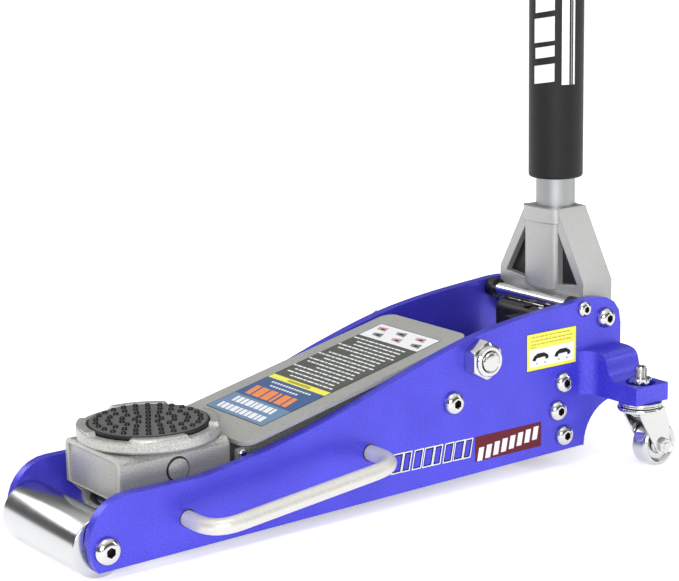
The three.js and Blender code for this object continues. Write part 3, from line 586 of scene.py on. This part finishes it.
# ---------- handle, sleeve and grip ----------
def handle():
    lower_low, lower_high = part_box("handle_lower_tube")
    x = centre("handle_lower_tube").x
    axis = Vector((x, 0, 0))
    r = size("handle_lower_tube").x / 2 / MM
    z0, z1 = lower_low.z / MM, lower_high.z / MM
    wall = [(r - 2, z0), (r, z0), (r, z1 - 1), (r - 0.8, z1), (r - 2, z1), (r - 2, z0)]
    made = placed(spun("lower_tube", wall, 96), axis, "z")
    put("lower_tube", made, "tube", "handle", ["handle_lower_tube"])
    low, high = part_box("handle_upper_tube")
    r = size("handle_upper_tube").x / 2 / MM
    z0, z1 = low.z / MM, high.z / MM
    wall = [(r - 2, z0), (r, z0), (r, z1), (r - 2, z1), (r - 2, z0)]
    made = placed(spun("upper_tube", wall, 96), axis, "z")
    put("upper_tube", made, "tube", "handle", ["handle_upper_tube"])
    button = softened([(3.4, -3), (3.4, 1.6), (0, 2.2)], 1, 3)
    put("snap_button", placed(spun("snap_button", button, 24), Vector((x, -16.4 * MM, 0.609)), "y", -1),
        "zinc", "handle")

    low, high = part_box("handle_sleeve")
    r = size("handle_sleeve").x / 2 / MM
    z0, z1 = low.z / MM, high.z / MM
    foot = z0 - 5
    sleeve = softened([(16.8, foot), (r, foot), (r, z1), (16.8, z1)], 4.5, 5)
    made = put("foam_sleeve", placed(spun("foam_sleeve", sleeve + [sleeve[0]], 96), axis, "z"), "foam",
               "handle", ["handle_sleeve"])
    base = z0 + 75

    def on_sleeve(u, v, lift):
        turn = math.radians(u)
        reach = (r + lift) * MM
        return (x + reach * math.cos(turn), reach * math.sin(turn), v * MM)

    def band(ink, layer, a0, a1, v0, v1, slant=0.0):
        steps = max(1, round(abs(a1 - a0) / 6))
        out = []
        for i in range(steps):
            p, q = a0 + (a1 - a0) * i / steps, a0 + (a1 - a0) * (i + 1) / steps
            sp, sq = slant * i / steps, slant * (i + 1) / steps
            out.append((ink, layer, [(p, v0 + sp), (q, v0 + sq), (q, v1 + sq), (p, v1 + sp)]))
        return out

    patches = band("ink_white", 0, -121, -104.5, base, z1 - 10)
    patches += band("ink_grey", 0, -101, -98, base, z1 - 10)
    patches += band("ink_white", 0, -95.5, -91, base, z1 - 10)
    v = base
    step = 0
    while v < z1 - 34:
        tall = (15, 9, 20, 12)[step % 4]
        patches += band("ink_white", 0, -184 + 3 * (step % 2), -136, v, v + tall, 3)
        v += tall + (6, 4, 5, 7)[step % 4]
        step += 1
    inked("sleeve_print", patches, on_sleeve, "handle")

    low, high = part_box("handle_grip")
    r = size("handle_grip").x / 2 / MM
    z0, z1 = low.z / MM, high.z / MM
    rings = [(14.6, z0), (r - 0.6, z0), (r, z0 + 1), (r, z0 + 6)]
    z = z0 + 8
    while z < z1 - 14:
        rings += [(r - 1.4, z), (r - 1.4, z + 1.6), (r - 0.4, z + 2.4), (r - 0.4, z + 5.2)]
        z += 6
    rings += [(r, z1 - 8), (r, z1 - 3), (r - 1, z1 - 1), (r - 4, z1), (0, z1)]
    rings += [(0, z1 - 7.5), (14.6, z1 - 7.6), (14.6, z0)]
    put("grip", placed(spun("grip", rings, 72), axis, "z"), "rubber", "handle", ["handle_grip"])


handle()


# ---------- side handle ----------
def side_handle():
    low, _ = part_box("side_handle")
    r = 6.25
    x0, x1 = 67.9, 235.7
    z0, z1 = 32.8, 50.5
    out = low.y / MM + r
    face = -PLATE_FACE
    bend = 24
    feet = [Vector((x0, face, z0)), Vector((x1, face, z1))]
    run = (feet[1] - feet[0]).normalized()
    points = [feet[0]]
    corners = [Vector((p.x, out, p.z)) for p in feet]
    for corner, along in ((corners[0], run), (corners[1], -run)):
        a = corner + Vector((0, bend, 0))
        b = corner + along * bend
        curve = []
        for i in range(15):
            t = i / 14
            curve.append(a * (1 - t) ** 2 + corner * 2 * t * (1 - t) + b * t * t)
        points += curve if along is run else curve[::-1]
    points.append(feet[1])
    spots = [at(p.x, p.y, p.z) for p in points]
    put("side_handle_rod", swept("side_handle_rod", spots, r, 10), "pearl", "frame", ["side_handle"])


side_handle()


# ---------- printing: plain bars and blocks in place of any lettering ----------
def cover_print():
    """A framed sheet on the arm cover: blue head, orange blocks, yellow band, rows and small marks."""
    low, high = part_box("arm_cover")
    thick = 4 * MM
    slope = math.atan2(high.z - low.z - thick * 0.976, high.x - low.x - thick * 0.218)
    front = Vector((low.x, 0, low.z + thick * math.cos(slope)))
    along = Vector((math.cos(slope), 0, math.sin(slope)))
    normal = Vector((-math.sin(slope), 0, math.cos(slope)))

    def on_cover(u, v, lift):
        return front + along * u * MM + Vector((0, v * MM, 0)) + normal * lift * MM

    half = 38.4
    patches = [bar_patch("dark_ink_and_shade", 0, 25.6, -half - 0.7, 205.5, half + 0.7)]
    patches += [bar_patch("ink_sky", 1, 26.3, -half, 54, half)]
    patches += [bar_patch("ink_blue", 1, 54, -half, 86.8, half)]
    patches += [bar_patch("ink_yellow", 1, 86.8, -half, 93.1, half)]
    patches += [bar_patch("ink_slate", 1, 93.1, -half, 180.5, half)]
    patches += [bar_patch("ink_white", 1, 180.5, -half, 204.8, half)]
    for row, (u0, u1, start, end) in enumerate(((30, 38, -31, 31), (42.5, 51, -27, 29))):
        v = start
        step = 0
        while v < end - 4:
            wide = (5.2, 3.6, 6.2, 4.4)[(step + row) % 4]
            outline = [(u0, v), (u0, v + wide), (u1, v + wide + 1.6), (u1, v + 1.6)]
            patches.append(("ink_white", 2, outline))
            v += wide + 1.5
            step += 1
    for v, wide in ((-27, 6), (-19, 9), (-7, 3.4), (-1.4, 9.6), (10.4, 9.8), (22.4, 6.6)):
        outline = [(57, v), (57, v + wide), (71.5, v + wide + 3), (71.5, v + 3)]
        patches.append(("ink_orange", 2, outline))
    for u, start, end in ((75.5, -16, 20), (81, -26, 27)):
        v = start
        while v < end:
            patches.append(bar_patch("ink_white", 2, u, v, u + 2, v + 2.6))
            v += 3.8
    patches.append(bar_patch("ink_brown", 2, 88.6, -15, 91.4, 15))
    ends = (20, 34, 29, 36, 12, 31, 35, 24, 36, 33, 8, 30, 36, 22, 28, 35)
    for row, end in enumerate(ends):
        u = 97 + row * 5.15
        v = -34 + (4.5 if row % 4 else 0)
        step = row
        while v < end:
            wide = (4.4, 7.2, 3.2, 5.8, 8.6)[step % 5]
            patches.append(bar_patch("ink_white", 2, u, v, u + 1.7, min(v + wide, end + 3)))
            v += wide + 1.1
            step += 1
    for i, v in enumerate((-25, 0, 25)):
        for j, u in enumerate((184.5, 194.5)):
            ink = "ink_pink" if (i + j) % 2 else "ink_grey"
            shift = v + (3 if j else -3)
            blob = [(u, shift - 7), (u + 1, shift + 5), (u + 5, shift + 7), (u + 7, shift - 4)]
            patches.append((ink, 2, blob))
            patches.append(bar_patch("dark_ink_and_shade", 3, u + 2, shift - 3, u + 4, shift + 2))
    inked("cover_print", patches, on_cover, "lift_arm")


def side_print():
    """A yellow and white notice, and a row of outlined blocks beside a red bar, on the near side plate."""
    face = -PLATE_FACE * MM

    def on_plate(u, v, lift):
        spot = at(u, 0, v)
        return Vector((spot.x, face - lift * MM, spot.z))

    patches = [bar_patch("dark_ink_and_shade", 0, 396.4, 87.3, 451.3, 119)]
    patches += [bar_patch("ink_yellow", 1, 396.9, 87.8, 450.8, 118.5)]
    patches += [bar_patch("ink_white", 2, 399.4, 90.4, 448.6, 105.6)]
    for row, (v, end) in enumerate(((115.2, 444), (112, 447), (109, 445), (106.7, 407))):
        u = 401.5
        step = row
        while u < end:
            wide = (4.2, 2.6, 5.4, 3.4)[step % 4]
            patches.append(bar_patch("ink_brown", 2, u, v, min(u + wide, end), v + 0.8))
            u += wide + 0.9
            step += 1
    for u in (402.4, 426.6):
        blob = [(u, 96.4), (u + 2, 99.6), (u + 6, 101.6), (u + 13, 101.6), (u + 17.6, 99)]
        blob += [(u + 18, 96.4), (u + 15, 95.4), (u + 14, 98), (u + 5, 97.6), (u + 3.4, 95.2)]
        patches.append(("dark_ink_and_shade", 3, blob))
        patches.append(bar_patch("ink_brown", 3, u + 4, 92.6, u + 6, 93.8))
        patches.append(bar_patch("ink_brown", 3, u + 13, 92.6, u + 15, 93.8))
    patches.append(bar_patch("ink_red", 0, 341.4, 22, 412.6, 43))
    for i in range(8):
        u = 343.5 + 8.4 * i
        v = 22.2 + 0.95 * i
        patches.append(bar_patch("ink_white", 2, u, v, u + 5.4, v + 11, 2.2))
    for i in range(9):
        u = 246 + 10.4 * i
        v = 29.4 - 0.2 * i
        wide = (7.6, 8.4, 6.4)[i % 3]
        patches.append(bar_patch("ink_white", 0, u - 0.9, v - 0.9, u + wide + 0.9, v + 15.2, 3.2))
        patches.append(bar_patch("dark_ink_and_shade", 1, u, v, u + wide, v + 14.3, 3.0))
        patches.append(bar_patch("ink_steel", 2, u + 1.1, v + 1.1, u + wide - 1.1, v + 13.2, 2.5))
    inked("side_print", patches, on_plate, "frame")


cover_print()
side_print()


# ---------- arm, yoke and power unit details ----------
def arm_cheeks():
    """The front ends of the arm's side walls, beside the head, each with a small bolt through it."""
    outline = [(133.6, 52), (133.6, 73.4), (126, 71.8), (121.6, 70.8), (121.6, 58), (125, 53)]
    stud = [(0, 0), (3.2, 0), (3.2, 1.6), (2.4, 2.4), (0, 2.6)]
    for word, side in SIDES:
        wall = placed(slab("arm_cheek_" + word, [outline], 4.7, 0.4), at(0, side * 45.2), "y", side)
        put("arm_cheek_" + word, wall, "arm", "lift_arm")
        bolt = placed(spun("arm_stud_" + word, stud, 36), at(125.6, side * 49.8, 68.4), "y", side)
        put("arm_stud_" + word, bolt, "zinc", "lift_arm")


def handle_contact_shadows():
    """Dark rings painted as contact shadow where the carrying handle meets the near plate."""
    low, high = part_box("side_handle")
    r = 6.25
    collar = [(r, 0), (r + 0.7, 0), (r + 0.7, 0.35), (r, 0.35)]
    feet = (("front", low.x + r * MM, low.z + r * MM), ("rear", high.x - r * MM, high.z - r * MM))
    for name, x, z in feet:
        ring = spun("handle_foot_shadow_" + name, collar + [collar[0]], 48)
        placed(ring, Vector((x, -(PLATE_FACE + 0.02) * MM, z)), "y", -1)
        put("handle_foot_shadow_" + name, ring, "black", "frame")


def yoke_details():
    # A back wall behind each window of the yoke, coloured black as painted shade inside the pocket.
    for word, side in SIDES:
        corners = [(side * 19.8, 190.6), (side * 19.8, 143.2), (side * 46.4, 146.2)]
        shade_wall = placed(slab("yoke_pocket_shade_" + word, [corners], 3, 0.3), at(474.5), "x")
        put("yoke_pocket_shade_" + word, shade_wall, "black", "yoke")


def cross_bar():
    half = size("cross_bar").y / 2 / MM
    r = size("cross_bar").z / 2 / MM
    rings = [(3.4, -half), (r - 0.6, -half), (r, -half + 0.6), (r, half - 0.6), (r - 0.6, half), (3.4, half)]
    bar = spun("cross_bar_turned", rings + [rings[0]], 96)
    placed(bar, centre("cross_bar"), "y")
    put("cross_bar_turned", bar, "chrome", BODY_OF["cross_bar"], ["cross_bar"])


def unit_details():
    top = size("power_unit").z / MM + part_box("power_unit")[0].z / MM
    plug = [(0, 0), (5, 0), (5, 0.35), (4.2, 0.5), (3.2, 0.5), (2.6, 0.1, 2.3), (0, 0.1)]
    made = placed(spun("drum_plug", plug, 48), at(452.4, -1, top), "z")
    put("drum_plug", made, "steel", "frame")
    stud = [(0, 0), (3, 0), (3, 0.6), (2, 1.4), (0, 1.7)]
    put("drum_screw", placed(spun("drum_screw", stud, 36), at(451.6, -19, top - 0.2), "z"), "zinc", "frame")
    r = size("hydraulic_cylinder").z / 2 / MM
    half = size("hydraulic_cylinder").x / 2 / MM
    rings = [(11.4, -half), (r - 4, -half), (r - 4, -half + 5), (r, -half + 6), (r, half), (11.4, half)]
    put("cylinder", placed(spun("cylinder", rings + [rings[0]], 72), centre("hydraulic_cylinder"), "x"),
        "steel", "frame", ["hydraulic_cylinder"])


arm_cheeks()
handle_contact_shadows()
yoke_details()
cross_bar()
unit_details()


# ---------- coil springs ----------
def coil(name, start, length, radius, wire, turns):
    """A coil along +X from a point in the row frame, sizes in mm."""
    steps = turns * 16
    points = []
    for i in range(steps + 1):
        turn = 2 * math.pi * i / 16
        reach = wire + (length - 2 * wire) * i / steps
        points.append(start + Vector((reach, radius * math.cos(turn), radius * math.sin(turn))) * MM)
    return swept(name, points, wire, 3)


def springs():
    for word, _ in SIDES:
        node = "return_spring_" + word
        low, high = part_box(node)
        y = centre(node).y
        mesh = coil(node + "_coil", Vector((low.x, y, centre(node).z)), (high.x - low.x) / MM, 2.3, 0.55, 34)
        obj = bpy.data.objects.new(node + "_coil", mesh)
        bpy.context.scene.collection.objects.link(obj)
        mesh.materials.append(M["zinc"])
        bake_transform(obj)
        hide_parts(node)
    low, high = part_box("pump_spring")
    spot = centre("pump_spring")
    mesh = coil("pump_spring_coil", Vector((low.x, 0, spot.z)), (high.x - low.x) / MM, 8.4, 0.8, 6)
    made = put("pump_spring_coil", mesh, "steel", BODY_OF["pump_spring"], ["pump_spring"])
    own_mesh(made)


springs()


# ---------- casters ----------
def caster(word, side):
    stem = centre("caster_stem_" + word)
    axis = Vector((stem.x, stem.y, 0))
    rings = [(0, 45), (6.8, 45), (8.4, 46, 7.3), (8.4, 49.6, 7.3), (5, 49.6), (5, 54.2), (16.6, 54.2)]
    rings += [(18, 54.7), (18, 55.6), (17, 56), (18, 56.4), (18, 57.4), (17.4, 57.9), (5, 57.9), (5, 69)]
    rings += [(9.7, 69, 8.4), (9.7, 76.4, 8.4), (8.5, 77.4), (6, 77.6)]
    for i in range(8):
        rings += [(5.2, 78 + 1.05 * i), (4.5, 78.5 + 1.05 * i)]
    rings += [(4.2, 86.9), (0, 87)]
    put("stem_" + word, placed(spun("stem_" + word, rings, 72, 26), axis, "z"), "zinc",
        BODY_OF["caster_stem_" + word], ["caster_stem_" + word])

    body = "caster_" + word
    disc = softened([(5.3, 50), (19, 50), (19, 53.8), (5.3, 53.8)], 1.8, 4)
    put("fork_disc_" + word, placed(spun("fork_disc_" + word, disc + [disc[0]], 72), axis, "z"), "zinc", body,
        ["caster_fork_" + word])
    wheel = centre("caster_wheel_" + word)
    trail = (wheel.x - stem.x) / MM
    drop = wheel.z / MM
    cheek = [*arc(trail, drop, 8, 200, 380, 14), (trail + 6.5, 40), (17.6, 51.6), (-11, 51.6), (-8, 44)]
    hole = arc(trail, drop, 4.2, 0, 345, 20)[::-1]
    for name, flank in (("in", -1), ("out", 1)):
        inside = axis + Vector((0, flank * 9 * MM, 0))
        made = placed(slab("cheek", [cheek, hole], 2.2, 0.6), inside, "y", flank)
        put(f"fork_cheek_{name}_{word}", made, "zinc", body)

    r, half = drop, size("caster_wheel_" + word).y / 2 / MM
    rings = [(4.3, -half + 0.4), (7, -half + 0.4), (7.6, -half + 1), (8.4, -half + 2.4), (12.6, -half + 2.6)]
    rings += [(14, -half + 0.8), (15, -half), (16.6, -half), (17.8, -half + 0.9), (18.4, -half + 2.4)]
    rings += [(r, -half + 3.6)]
    rings += [(a, -b) for a, b in reversed(rings)]
    made = placed(spun("wheel_" + word, rings + [rings[0]], 96), wheel, "y")
    put("wheel_" + word, made, "wheel", "caster_wheel_" + word, ["caster_wheel_" + word])

    nut = [(0, -16.2), (3, -16.2), (3.4, -15.6), (3.4, -15), (5.6, -15), (6.8, -14.2, 5.9), (6.8, -11.4, 5.9)]
    nut += [(4, -11.4), (4, 11.4), (7, 11.4), (7, 12.6), (6, 14), (3.4, 15), (0, 15.3)]
    made = placed(spun("axle_" + word, nut, 72, 26), wheel, "y", -side if side > 0 else 1)
    put("axle_" + word, made, "zinc", BODY_OF["caster_axle_" + word], ["caster_axle_" + word])


for word, side in SIDES:
    caster(word, side)


# ---------- stage ----------
def camera():
    """The camera at the picture's viewing angle: low, from the front left."""
    data = bpy.data.cameras.new("camera")
    data.sensor_width = 36
    data.lens = 108.2
    data.clip_start = 0.05
    data.clip_end = 50
    obj = bpy.data.objects.new("camera", data)
    bpy.context.scene.collection.objects.link(obj)
    yaw, pitch, roll = (math.radians(a) for a in (36.16, 12.362, -0.959))
    ahead = Vector((math.sin(yaw) * math.cos(pitch), math.cos(yaw) * math.cos(pitch), -math.sin(pitch)))
    right = ahead.cross(Vector((0, 0, 1))).normalized()
    up = right.cross(ahead)
    right, up = (
        math.cos(roll) * right + math.sin(roll) * up,
        math.cos(roll) * up - math.sin(roll) * right,
    )
    turn = Matrix((right, up, -ahead)).transposed()
    obj.matrix_world = Matrix.Translation((-0.92598, -1.27631, 0.51237)) @ turn.to_4x4()
    bpy.context.scene.camera = obj


def area_light(name, spot, aim, width, height, power):
    data = bpy.data.lights.new(name, "AREA")
    data.shape = "RECTANGLE"
    data.size = width
    data.size_y = height
    data.energy = power
    obj = bpy.data.objects.new(name, data)
    bpy.context.scene.collection.objects.link(obj)
    obj.location = spot
    obj.rotation_euler = (Vector(aim) - Vector(spot)).to_track_quat("-Z", "Y").to_euler()


def studio_sky():
    """A bright ceiling over darker walls, so that polished metal has something to mirror."""
    world = bpy.data.worlds.new("studio")
    world.use_nodes = True
    nodes, links = world.node_tree.nodes, world.node_tree.links
    split = nodes.new("ShaderNodeSeparateXYZ")
    links.new(nodes.new("ShaderNodeTexCoord").outputs["Generated"], split.inputs[0])
    ramp = nodes.new("ShaderNodeValToRGB")
    stops = ((0.0, 0.3), (0.08, 0.12), (0.5, 0.12), (0.62, 0.62), (0.8, 0.85), (1.0, 0.9))
    while len(ramp.color_ramp.elements) < len(stops):
        ramp.color_ramp.elements.new(0.5)
    for element, (spot, grey) in zip(ramp.color_ramp.elements, stops):
        element.position = spot
        element.color = (grey, grey, grey, 1)
    links.new(split.outputs["Z"], ramp.inputs["Fac"])
    links.new(ramp.outputs["Color"], nodes["Background"].inputs["Color"])
    nodes["Background"].inputs["Strength"].default_value = 1.15
    bpy.context.scene.world = world


def stage():
    bpy.ops.mesh.primitive_plane_add(size=120, location=(0, 0, 0))
    floor = bpy.context.object
    floor.name = "floor"
    r = Recipe("floor_paper", 0.8, 0.0)
    r.colour(r.ramp(r.noise(3.0), [(0.3, rgb(250, 250, 250)), (0.7, rgb(253, 253, 253))]))
    r.shader.inputs["Emission Color"].default_value = (1, 1, 1, 1)
    r.shader.inputs["Emission Strength"].default_value = 0.45
    floor.data.materials.append(r.material)
    studio_sky()
    aim = (0, 0, 0.12)
    area_light("key", (-1.8, -2.3, 1.1), aim, 1.7, 1.1, 50)
    area_light("top", (-0.6, -0.4, 2.6), aim, 1.2, 1.2, 12)
    area_light("side", (2.2, -1.6, 1.0), aim, 0.5, 1.6, 8)
    area_light("rim", (-1.2, 2.4, 1.6), aim, 1.6, 0.8, 14)
    bpy.context.scene.view_settings.view_transform = "Standard"


camera()
stage()
